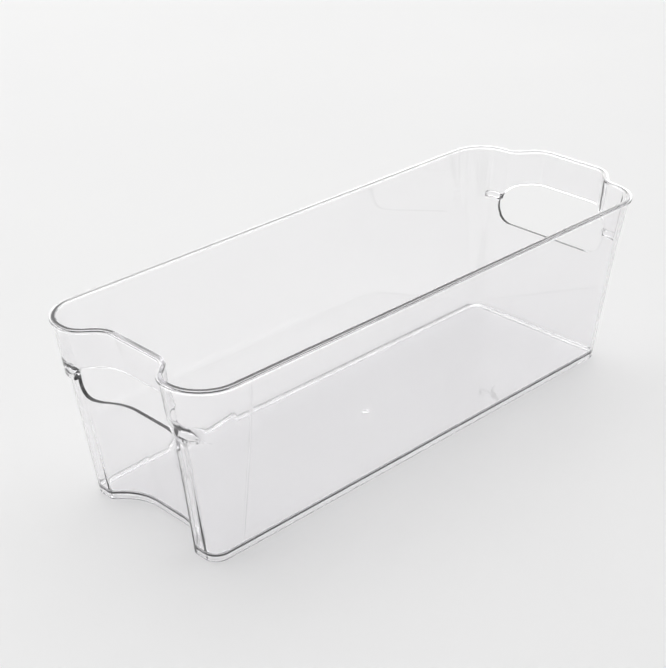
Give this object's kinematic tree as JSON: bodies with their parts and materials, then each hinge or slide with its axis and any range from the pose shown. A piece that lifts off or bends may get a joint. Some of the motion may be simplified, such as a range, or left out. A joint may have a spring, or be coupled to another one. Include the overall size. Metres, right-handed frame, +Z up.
{
  "type": "fridge organizer bin",
  "caption": "Clear open-topped storage bin for a fridge shelf, long and narrow with drafted walls, a thick rim lip and a finger slot in each end.",
  "frame": {"origin": "middle of the whole part's plan, on the surface that it stands on", "axes": "+X from the drawn-in front grip towards the rear grip band, +Y towards the left side wall, +Z up"},
  "size_m": [0.3384, 0.123, 0.1],
  "materials": {
    "clear_plastic": "polished clear injection-moulded plastic"
  },
  "bodies": {
    "root": {"floor_panel": "clear_plastic", "left_side_wall": "clear_plastic", "right_side_wall": "clear_plastic", "front_left_post": "clear_plastic", "front_right_post": "clear_plastic", "rear_left_post": "clear_plastic", "rear_right_post": "clear_plastic", "front_end_panel": "clear_plastic", "front_grip_band": "clear_plastic", "rear_end_panel": "clear_plastic", "rear_grip_band": "clear_plastic", "left_rim": "clear_plastic", "right_rim": "clear_plastic", "front_rim": "clear_plastic", "rear_rim": "clear_plastic", "front_left_rim_corner": "clear_plastic", "front_right_rim_corner": "clear_plastic", "rear_left_rim_corner": "clear_plastic", "rear_right_rim_corner": "clear_plastic"}
  },
  "joints": []
}
